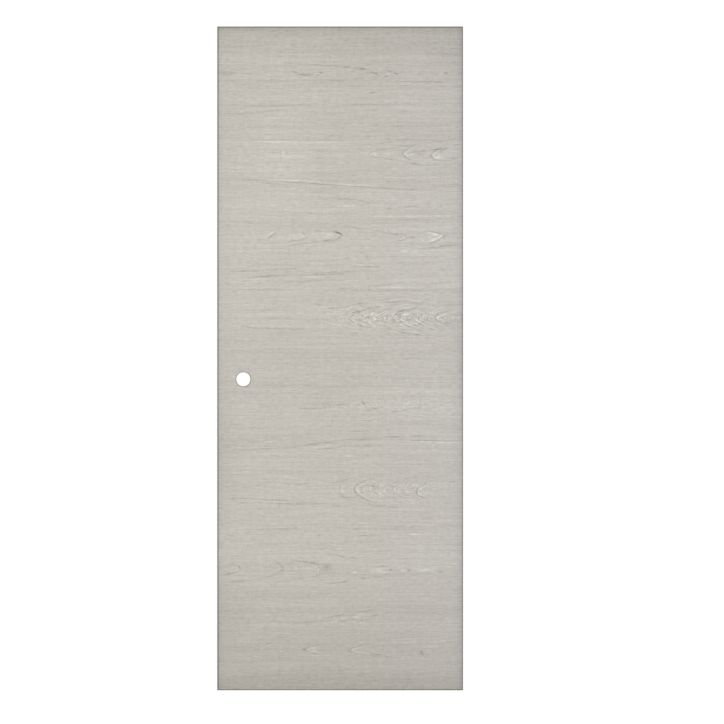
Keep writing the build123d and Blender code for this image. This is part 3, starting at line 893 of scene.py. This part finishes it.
@dataclass(frozen=True)
class EdgeBanding:
    """ABS edge banding, extruded, printed and roller-textured, one upright strip to an edge.

    Its print is the same greyed oak a shade darker, with the grain running up the strip, and its
    lacquer is as matt as the foil's, so the edge shows a soft sheen along its length. That darker
    print is partly painted shade along the leaf's outline, and the arris is painted darker still,
    as painted shade.

    Attributes:
        shades: the print's colours by their levels.
        arris_shade: the painted shade colour of the arris.
        arris_start: where the arris begins, in mm from the leaf's middle plane.
        arris_blend: width of the soft step there, in mm.
        roughness: of the lacquer.
        pore_depth: of the roller's texture, in mm.
        fibres: the wood's texture, scale by scale.
    """

    shades: tuple[tuple[float, str], ...] = (
        (-40.0, "6E6B63"), (0.0, "96938A"), (40.0, "BEBBB2"),
    )
    arris_shade: str = "67635B"
    arris_start: float = 18.4
    arris_blend: float = 0.3
    roughness: float = 0.45
    pore_depth: float = 0.05
    fibres: tuple[Fibre, ...] = (
        Fibre(260.0, 14.0, 16.0, 1.0), Fibre(60.0, 2.2, 30.0, 3.0), Fibre(9.0, 0.8, 22.0, 1.0),
    )

    def material(self) -> bpy.types.Material:
        """Builds the finish: stretched noises summed as levels, read up the strip and across it.

        Returns:
            The finished material.
        """
        recipe = Recipe(bpy.data.materials.new("printed_abs_edge_band"))
        place = recipe.add(MAPPING, {
            "Vector": recipe.add(PLACE, out="Object"),
            "Rotation": (0.0, math.radians(90.0), 0.0),
            "Scale": (1 / MM, 1 / MM, 1 / MM),
        })
        layers = Layers(recipe)
        for fibre in self.fibres:
            noise = recipe.fleck(place, (fibre.along, fibre.across), fibre.detail)
            layers.lay(noise, fibre.levels, 0.5)
        # Painted shade: the arris takes the darker colour
        through = recipe.add(MATH, {0: recipe.add(SPLIT, {0: place}, out=1)}, operation="ABSOLUTE")
        arris = recipe.add(RANGE, {"Value": through, 1: self.arris_start,
                                   2: self.arris_start + self.arris_blend, 3: 0.0, 4: 1.0})
        colour = recipe.add(MIX, {0: arris, 6: layers.colour(self.shades), 7: linear(self.arris_shade)}, out=2,
                            data_type="RGBA")
        pressed = recipe.add(BUMP, {"Strength": 1.0, "Distance": self.pore_depth * MM, "Height": noise})
        return recipe.close({"Base Color": colour, "Roughness": self.roughness, "Normal": pressed})


class Run(Enum):
    """Which way a lath's grain runs, with the turns that bring it onto the ring pattern's Z axis."""

    UPRIGHT = (0.0, 0.0, 0.0)
    ACROSS = (0.0, 90.0, 0.0)


@dataclass(frozen=True)
class SawnSpruce:
    """Kiln-dried spruce, sawn and planed to laths.

    Yellow-white early wood turns into a thin reddish late-wood line in each growth ring. The rings
    are real shells round a pith, so a lath shows arcs on its end grain and long lines on its sides.
    Planed softwood without a finish is matt, and its end grain looks darker. Its fibres are drawn
    coarser than real ones, which are too fine to show.

    Attributes:
        early: the early wood's colour.
        late: the late wood's.
        ring_width: in mm.
        waver: by how much a ring wanders on its way up the log, in mm.
        roughness: of the planed wood.
        end_shade: brightness of the end grain against the sides.
        ring_stops: shares of a ring at which late wood sets in, is full, and ends.
        fibre: length of a fibre across, across and along the grain, in mm.
        fuzz: height of the raised fibres, in mm.
    """

    early: str = "E2C79A"
    late: str = "B98D59"
    ring_width: float = 2.8
    waver: float = 1.4
    roughness: float = 0.72
    end_shade: float = 0.8
    ring_stops: tuple[float, float, float] = (0.45, 0.86, 0.95)
    fibre: tuple[float, float, float] = (0.7, 0.7, 22.0)
    fuzz: float = 0.15

    def material(self, name: str, run: Run, pith: tuple[float, float, float]) -> bpy.types.Material:
        """Builds the finish of one lath.

        A point's ring is its distance from the pith line, wavering with noise, over the ring width.
        The part after the decimal point goes from early wood to late wood.

        Args:
            name: the lath's name.
            run: which way its grain runs.
            pith: a point on the pith line, in mm in the leaf's frame.

        Returns:
            The finished material.
        """
        recipe = Recipe(bpy.data.materials.new(f"sawn_spruce_{name}"))
        add = recipe.add
        here = add(PLACE, out="Object")
        centred = add(MAPPING, {"Vector": here, "Location": tuple(-p for p in pith), "Scale": (1 / MM,) * 3})
        turns = tuple(math.radians(turn) for turn in run.value)
        turned = add(MAPPING, {"Vector": centred, "Rotation": turns})
        flat = add(VECTOR, {0: turned, 1: (1.0, 1.0, 0.0)}, operation="MULTIPLY")
        away = add(VECTOR, {0: flat}, out=1, operation="LENGTH")
        wander = recipe.fleck(turned, (18.0, 18.0, 420.0), 2.0)
        ring = add(MATH, {0: wander, 1: 8 * self.waver, 2: away}, operation="MULTIPLY_ADD")
        part = add(MATH, {0: add(MATH, {0: ring, 1: 1 / self.ring_width}, operation="MULTIPLY")},
                   operation="FRACT")
        early, late = linear(self.early), linear(self.late)
        start, full, last = self.ring_stops
        rings = fill_stops(add(RAMP, {0: part}),
                           [(0.0, early), (start, early), (full, late), (last, late), (1.0, early)])
        fibre = recipe.fleck(turned, self.fibre, 2.0)
        shade = add(RANGE, {"Value": fibre, 1: 0.3, 2: 0.7, 3: 0.86, 4: 1.06})
        split = add(SPLIT, {0: add(PLACE, out="Normal")}, out=2 if run is Run.UPRIGHT else 0)
        end = add(RANGE, {"Value": add(MATH, {0: split}, operation="ABSOLUTE"), 1: 0.6, 2: 0.9, 3: 1.0,
                          4: self.end_shade})
        tint = add(MATH, {0: shade, 1: end}, operation="MULTIPLY")
        colour = add(VECTOR, {0: rings, 1: add(JOIN, {0: tint, 1: tint, 2: tint})}, operation="MULTIPLY")
        rough = add(BUMP, {"Strength": 0.6, "Distance": self.fuzz * MM, "Height": fibre})
        return recipe.close({"Base Color": colour, "Roughness": self.roughness, "Normal": rough})


@dataclass(frozen=True)
class TubularChipboard:
    """Extruded tubular chipboard: flat wood chips pressed with a little resin round steel tubes.

    The chips lie across the board's run and are a few millimetres long, straw to brown, with dark
    gaps between them, and the raw board is matt and rough.

    Attributes:
        chips: the chips' browns.
        chip: a chip's size along X, Y and Z, in mm.
        roughness: of the raw board.
        gap_depth: how deep the gaps between chips lie, in mm.
    """

    chips: tuple[str, ...] = ("8E6A42", "B08B5C", "C6A474", "9C7A50", "D2B586")
    chip: tuple[float, float, float] = (4.0, 4.0, 1.2)
    roughness: float = 0.85
    gap_depth: float = 0.3

    def material(self) -> bpy.types.Material:
        """Builds the finish: each chip is one cell of a pattern, with its own brown.

        Returns:
            The finished material.
        """
        recipe = Recipe(bpy.data.materials.new("tubular_chipboard"))
        here = recipe.add(PLACE, out="Object")
        shrink = tuple(1 / (length * MM) for length in self.chip)
        drawn = recipe.add(VECTOR, {0: here, 1: shrink}, operation="MULTIPLY")
        cells = recipe.add(CELLS, {"Vector": drawn, "Scale": 1.0}, out="Color")
        stops = [(number / len(self.chips), linear(brown)) for number, brown in enumerate(self.chips)]
        gap = recipe.add(CELLS, {"Vector": drawn, "Scale": 1.0}, feature="DISTANCE_TO_EDGE")
        rough = recipe.add(BUMP, {"Strength": 1.0, "Distance": self.gap_depth * MM, "Height": gap})
        browns = fill_stops(recipe.add(RAMP, {0: cells}), stops)
        return recipe.close({"Base Color": browns, "Roughness": self.roughness, "Normal": rough})


@dataclass(frozen=True)
class SetGlue:
    """Set white wood glue, squeezed out of a seam and hardened: yellowish, waxy and half clear.

    Attributes:
        name: the material's name.
        pale: colour of a thin bead.
        dark: colour of a thick blob.
        roughness: of its skin.
        blob: size of a blob, in mm.
        ior: of hardened glue.
    """

    name: str = "set_wood_glue"
    pale: str = "D9CBA3"
    dark: str = "B39C6B"
    roughness: float = 0.32
    blob: float = 7.0
    ior: float = 1.47

    def material(self) -> bpy.types.Material:
        """Builds the finish: thicker blobs along the bead are darker.

        Returns:
            The finished material.
        """
        recipe = Recipe(bpy.data.materials.new(self.name))
        place = recipe.add(MAPPING, {"Vector": recipe.add(PLACE, out="Object"), "Scale": (1 / MM,) * 3})
        blob = recipe.fleck(place, (self.blob,) * 3, 2.0)
        stops = [(0.35, linear(self.pale)), (0.7, linear(self.dark))]
        colour = fill_stops(recipe.add(RAMP, {0: blob}), stops)
        return recipe.close({"Base Color": colour, "Roughness": self.roughness, "IOR": self.ior})


def mesh_piece(name: str, points: np.ndarray, faces: list[list[int]]) -> bpy.types.Object:
    """Makes a piece and links it to the scene.

    Args:
        name: the piece's name.
        points: its points, in metres, as rows of three.
        faces: the numbers of each face's corners, anticlockwise as seen from outside.

    Returns:
        The piece.
    """
    mesh = bpy.data.meshes.new(name)
    mesh.from_pydata(points.tolist(), [], faces)
    mesh.update()
    piece = bpy.data.objects.new(name, mesh)
    bpy.context.scene.collection.objects.link(piece)
    return piece


def grid_faces(rows: int, columns: int, looped: bool) -> np.ndarray:
    """Works out the faces of a grid of points that is closed from its last column to its first.

    A cell's four corners are neighbours in the grid, so its face is worked out from places alone.
    It points to the side from which columns, then rows, turn anticlockwise.

    Args:
        rows: how many rows of points there are.
        columns: how many points a row has.
        looped: whether the last row joins the first.

    Returns:
        Four corner numbers for each face.
    """
    number = np.arange(rows * columns).reshape(rows, columns)
    number = np.concatenate([number, number[:, :1]], axis=1)
    if looped:
        number = np.concatenate([number, number[:1]], axis=0)
    corners = np.stack([number[:-1, :-1], number[:-1, 1:], number[1:, 1:], number[1:, :-1]], axis=-1)
    return corners.reshape(-1, 4)


@dataclass(frozen=True)
class Bead:
    """A thin bead of glue along one seam.

    Attributes:
        path: points along the seam, in metres, as rows of three.
        outward: which way the surface faces along the path, as rows of three.
        looped: whether its end joins its start.
    """

    path: np.ndarray
    outward: np.ndarray
    looped: bool = False

    def surface(self, width: float, height: float, wander: float) -> tuple[np.ndarray, list[list[int]]]:
        """Works out the bead: a flat ellipse carried along the path.

        A point at angle a on the ring at distance s is path(s) + size(s) * (width / 2 * cos(a) * side
        + height / 2 * sin(a) * outward). The size wavers as two sines of s, and it shrinks at open
        ends, where a flat cap closes the bead. The lower half lies in the wood.

        Args:
            width: of the bead, in metres.
            height: of the whole ellipse, in metres.
            wander: by which share the size wavers.

        Returns:
            The points and the faces.
        """
        ahead = np.gradient(self.path, axis=0)
        if self.looped:
            ahead = np.roll(self.path, -1, axis=0) - np.roll(self.path, 1, axis=0)
        side = np.cross(self.outward, ahead)
        side /= np.linalg.norm(side, axis=1, keepdims=True)
        turn = 2 * math.pi * np.arange(len(self.path)) / len(self.path)
        size = 1 + wander * (0.6 * np.sin(7 * turn) + 0.4 * np.sin(19 * turn + 1))
        if not self.looped:
            size[[0, -1]] *= 0.3
        angle = np.linspace(0.0, 2 * math.pi, 9)[:-1]
        across = (width / 2 * size)[:, None, None] * np.cos(angle)[None, :, None] * side[:, None, :]
        out = (height / 2 * size)[:, None, None] * np.sin(angle)[None, :, None] * self.outward[:, None, :]
        points = (self.path[:, None, :] + across + out).reshape(-1, 3)
        faces = grid_faces(len(self.path), len(angle), self.looped).tolist()
        if not self.looped:
            last = len(points) - len(angle)
            faces.append(list(range(len(angle)))[::-1])
            faces.append(list(range(last, last + len(angle))))
        return points, faces


@dataclass
class GlueLines:
    """The glue lines that show at the leaf's ends, round its bore and along its edge bands.

    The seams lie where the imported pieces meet, so their places are read from those pieces.

    Attributes:
        width: of a bead, in metres.
        height: of its whole section, half of it sunk, in metres.
        wander: by which share its size wavers.
        step: distance between two rings of a bead, in metres.
        clear: how far a bead stops short of an edge, in metres.
        arris: radius of the leaf's rounded edges, in metres.
        groove_width: of the groove in the foot, in metres.
    """

    width: float = 0.5 * MM
    height: float = 0.12 * MM
    wander: float = 0.35
    step: float = 4 * MM
    clear: float = 0.4 * MM
    arris: float = 1.5 * MM
    groove_width: float = 8 * MM

    def straight(self, start: tuple, end: tuple, outward: tuple) -> Bead:
        """Lays a bead along a line: start + share * (end - start), with the share from 0 to 1.

        Args:
            start: one end of the seam, in metres.
            end: its other end.
            outward: which way the surface faces.

        Returns:
            The bead.
        """
        first, last = np.array(start, float), np.array(end, float)
        count = max(4, int(np.linalg.norm(last - first) / self.step))
        share = np.linspace(0.0, 1.0, count)[:, None]
        path = first + share * (last - first)
        return Bead(path, np.broadcast_to(np.array(outward, float), path.shape))

    def build(self, name: str, beads: list[Bead], glue: bpy.types.Material, slot: str) -> bpy.types.Object:
        """Joins beads to one piece, dresses it and fastens it to the leaf.

        Args:
            name: the piece's name.
            beads: its beads.
            glue: its finish.
            slot: not used.

        Returns:
            The piece.
        """
        points: list[np.ndarray] = []
        faces: list[list[int]] = []
        for bead in beads:
            first = sum(len(some) for some in points)
            some, more = bead.surface(self.width, self.height, self.wander)
            points.append(some)
            faces += [[corner + first for corner in face] for face in more]
        piece = mesh_piece(name, np.concatenate(points), faces)
        piece.data.materials.append(glue)
        piece.data.shade_smooth()
        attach(piece, "root")
        return piece

    def end_beads(self, height: float, up: float, gap: float) -> list[Bead]:
        """Lays the seams of one end of the leaf: along both skins, and across it at laths and bands.

        Args:
            height: of that end, in metres.
            up: 1 where the end faces up, -1 where it faces down.
            gap: width of the groove that breaks the seams across, in metres.

        Returns:
            The beads.
        """
        skin_low, skin_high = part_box("front_skin")
        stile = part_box("left_stile")[1]
        left, right, seam = skin_low.x + self.clear, skin_high.x - self.clear, skin_high.y
        face = (0.0, 0.0, up)
        beads = [self.straight((left, y, height), (right, y, height), face) for y in (seam, -seam)]
        outer = skin_low.y + self.arris
        for x, reach in ((stile.x, seam), (-stile.x, seam), (skin_low.x, outer), (skin_high.x, outer)):
            reach += self.clear
            stop = gap / 2 + self.clear
            stretches = [(reach, -stop), (stop, -reach)] if gap else [(reach, -reach)]
            beads += [self.straight((x, start, height), (x, end, height), face) for start, end in stretches]
        return beads

    def bore_beads(self, bore: dict) -> list[Bead]:
        """Lays the two seams round the bore's wall: middle + radius * (cos a, 0, sin a).

        Args:
            bore: the record's mount for the bore.

        Returns:
            The beads.
        """
        radius = bore["dims"]["r_mm"] * MM
        angle = np.linspace(0.0, 2 * math.pi, 97)[:-1]
        spoke = np.stack([np.cos(angle), np.zeros_like(angle), np.sin(angle)], axis=-1)
        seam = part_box("front_skin")[1].y
        middle = np.array(bore["pos_m"])
        return [Bead(middle + radius * spoke + (0.0, y, 0.0), -spoke, looped=True) for y in (seam, -seam)]

    def band_beads(self) -> list[Bead]:
        """Lays the seams between skins and edge bands, up both faces.

        Returns:
            The beads.
        """
        low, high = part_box("front_skin")
        foot, top = low.z + self.arris, high.z - self.arris
        return [
            self.straight((x, y, foot), (x, y, top), (0.0, math.copysign(1.0, y), 0.0))
            for x in (low.x, high.x) for y in (low.y, -low.y)
        ]

    def dress(self, frame: dict) -> None:
        """Builds every glue line.

        Args:
            frame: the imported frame.
        """
        low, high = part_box("left_stile")
        bore = next(mount for mount in frame["record"]["mounts"] if mount["name"] == "pull_bore")
        wood_glue = SetGlue().material()
        band_glue = SetGlue("band_hot_melt", "A8A59C", "7D7A72", 0.4).material()
        for name, beads, glue, slot in (
            ("top_glue_lines", self.end_beads(high.z, 1.0, 0.0), wood_glue, "softwood"),
            ("foot_glue_lines", self.end_beads(low.z, -1.0, self.groove_width), wood_glue, "softwood"),
            ("bore_glue_lines", self.bore_beads(bore), wood_glue, "softwood"),
            ("band_glue_lines", self.band_beads(), band_glue, "decor_band"),
        ):
            piece = self.build(name, beads, glue, slot)
            LOG.info("%s: %d beads, %d points", name, len(beads), len(piece.data.vertices))


def dress_node(frame: dict, name: str, finish: bpy.types.Material) -> None:
    """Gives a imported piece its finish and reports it."""
    frame["nodes"][name].material_slots[0].material = finish
    LOG.info("%s: %s", name, finish.name)


@dataclass(frozen=True)
class Facings:
    """The two fibreboard skins with their sheets of decor foil."""

    foil: WoodDecorFoil = WoodDecorFoil()

    def dress(self, frame: dict) -> None:
        """Lays a sheet on each face.

        Args:
            frame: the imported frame.
        """
        sheet = self.foil.material()
        for name in ("front_skin", "back_skin"):
            dress_node(frame, name, sheet)


@dataclass(frozen=True)
class EdgeBands:
    """The bands that close the two upright edges."""

    banding: EdgeBanding = EdgeBanding()

    def dress(self, frame: dict) -> None:
        """Gives both bands the same strip.

        Args:
            frame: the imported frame.
        """
        strip = self.banding.material()
        for name in ("left_edge_band", "right_edge_band"):
            dress_node(frame, name, strip)


@dataclass(frozen=True)
class Lath:
    """One piece of the timber frame.

    Attributes:
        node: its name.
        run: which way its grain runs.
        pith: a point on the line that its rings run round, in mm in the leaf's frame.
    """

    node: str
    run: Run
    pith: tuple[float, float, float]


@dataclass(frozen=True)
class TimberFrame:
    """Stiles, rails and the block for the pull, each sawn from another part of the log."""

    timber: SawnSpruce = SawnSpruce()
    laths: tuple[Lath, ...] = (
        Lath("left_stile", Run.UPRIGHT, (-352.0, 58.0, 0.0)),
        Lath("right_stile", Run.UPRIGHT, (331.0, -66.0, 0.0)),
        Lath("top_rail", Run.ACROSS, (0.0, 47.0, -74.0)),
        Lath("hanger_rail", Run.ACROSS, (0.0, -52.0, -71.0)),
        Lath("bottom_rail", Run.ACROSS, (0.0, -39.0, -1951.0)),
        Lath("pull_block", Run.UPRIGHT, (-276.0, 84.0, 0.0)),
    )

    def dress(self, frame: dict) -> None:
        """Gives each lath its own cut of the timber."""
        for lath in self.laths:
            dress_node(frame, lath.node, self.timber.material(lath.node, lath.run, lath.pith))


@dataclass(frozen=True)
class TubularCore:
    """The three boards that fill the frame."""

    board: TubularChipboard = TubularChipboard()

    def dress(self, frame: dict) -> None:
        """Gives all three the same board.

        Args:
            frame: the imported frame.
        """
        chips = self.board.material()
        for name in ("core_board", "core_strip_above_block", "core_strip_below_block"):
            dress_node(frame, name, chips)


@dataclass(frozen=True)
class Softbox:
    """A square diffusing lamp.

    Attributes:
        name: its name.
        place: its middle, in metres.
        aim: the point that it faces.
        size: its side, in metres.
        watts: its power.
    """

    name: str
    place: tuple[float, float, float]
    aim: tuple[float, float, float]
    size: float
    watts: float


@dataclass
class Studio:
    """Pale floor, a light tent with softboxes, and the camera, square-on at mid-height.

    Attributes:
        leaf_width: the leaf's width, in metres.
        leaf_height: its height, in metres.
        leaf_front: where its front face is along Y, in metres.
        foot_gap: how far the floor lies below the leaf, in metres.
        floor_radius: how far the floor reaches, in metres.
        picture_side: the picture's side, in pixels.
        leaf_middle: where the leaf's middle stands in the picture, in pixels.
        millimetres_a_pixel: the picture's scale at the leaf's front.
        eye_distance: how far the camera stands from the front, in metres.
        sensor: width of the camera's sensor, in mm.
        walls: brightness of the tent's walls, up to the height where its roof starts to dim.
        crown: brightness of the middle of its roof.
        boxes: the lamps.
    """

    leaf_width: float
    leaf_height: float
    leaf_front: float
    foot_gap: float = 0.12
    floor_radius: float = 3.4
    picture_side: float = 724.0
    leaf_middle: tuple[float, float] = (340.12, 358.37)
    millimetres_a_pixel: float = 2.99
    eye_distance: float = 100.0
    sensor: float = 36.0
    walls: float = 1.015
    crown: float = 0.75
    boxes: tuple[Softbox, ...] = (
        Softbox("key", (-1.6, -2.6, 0.6), (0.0, 0.0, -0.9), 1.6, 14.0),
        Softbox("overhead", (0.0, 0.0, 3.2), (0.0, 0.0, -1.9), 3.0, 90.0),
        Softbox("fill", (1.8, 3.0, 0.2), (0.0, 0.0, -0.9), 1.6, 14.0),
    )

    def floor(self) -> None:
        """Makes the floor, a disc in polar form: rings of points at rising radius, all level."""
        radius = self.floor_radius * np.linspace(0.2, 1.0, 5)[:, None]
        angle = np.linspace(0.0, -2 * math.pi, 73)[None, :-1]
        level = np.broadcast_to(-self.leaf_height - self.foot_gap, (5, 72))
        points = np.stack([radius * np.cos(angle), radius * np.sin(angle), level], axis=-1).reshape(-1, 3)
        floor = mesh_piece("floor", points, [*grid_faces(5, 72, False).tolist(), list(range(72))[::-1]])
        # Rolled paint is evenly matt; its specks are drawn at 4 mm, since real ones are too fine to show
        recipe = Recipe(bpy.data.materials.new("matt_white_paint"))
        speck = recipe.fleck(recipe.add(PLACE, out="Object"), (4 * MM,) * 3, 2.0)
        white = fill_stops(recipe.add(RAMP, {0: speck}), [(0.3, linear("FAFAFA")), (0.7, linear("FDFDFD"))])
        floor.data.materials.append(recipe.close({"Base Color": white, "Roughness": 0.9}))
        floor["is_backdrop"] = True

    def tent(self) -> None:
        """Makes the light tent: white all round, and dimmer towards the middle of its roof."""
        tent = bpy.data.worlds.new("light_tent")
        bpy.context.scene.world = tent
        recipe = Recipe(tent)
        height = recipe.add(SPLIT, {0: recipe.add(PLACE, out="Generated")}, out=2)
        light = recipe.add(RANGE, {"Value": height, 1: 0.25, 2: 0.8, 3: self.walls, 4: self.crown})
        glow = recipe.add("ShaderNodeBackground", {"Color": (1.0, 1.0, 1.0, 1.0), "Strength": light})
        recipe.add("ShaderNodeOutputWorld", {"Surface": glow})

    def lamps(self) -> None:
        """Hangs the softboxes, each turned to face its aim."""
        for box in self.boxes:
            light = bpy.data.lights.new(box.name, "AREA")
            light.size, light.energy = box.size, box.watts
            lamp = bpy.data.objects.new(box.name, light)
            lamp.location = box.place
            lamp.rotation_euler = (Vector(box.aim) - Vector(box.place)).to_track_quat("-Z", "Y").to_euler()
            lamp.visible_camera = False
            bpy.context.scene.collection.objects.link(lamp)

    def camera(self) -> None:
        """Stands the camera so that the leaf has its place and size in the picture."""
        across = self.picture_side * self.millimetres_a_pixel * MM
        middle = self.picture_side / 2
        right = (middle - self.leaf_middle[0]) * self.millimetres_a_pixel * MM
        down = (middle - self.leaf_middle[1]) * self.millimetres_a_pixel * MM
        camera = bpy.data.cameras.new("camera")
        camera.sensor_width = self.sensor
        camera.lens = self.sensor * self.eye_distance / across
        camera.clip_end = 10 * self.eye_distance
        eye = bpy.data.objects.new("camera", camera)
        eye.location = (right, self.leaf_front - self.eye_distance, -self.leaf_height / 2 - down)
        eye.rotation_euler = (math.pi / 2, 0.0, 0.0)
        bpy.context.scene.collection.objects.link(eye)
        bpy.context.scene.camera = eye

    def build(self) -> None:
        """Makes the floor, the tent, the lamps and the camera, with plain colours in the picture."""
        bpy.context.scene.view_settings.view_transform = "Standard"
        self.floor()
        self.tent()
        self.lamps()
        self.camera()
        LOG.info("studio: floor, light tent, %d softboxes and camera", len(self.boxes))


def main() -> None:
    """Dresses the leaf, adds its glue lines and sets the studio."""
    logging.basicConfig(level=logging.INFO)
    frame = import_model()
    low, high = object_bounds()
    for part in (Facings(), EdgeBands(), TimberFrame(), TubularCore(), GlueLines()):
        part.dress(frame)
    Studio(leaf_width=high.x - low.x, leaf_height=high.z - low.z, leaf_front=low.y).build()


if __name__ == "__main__":
    main()
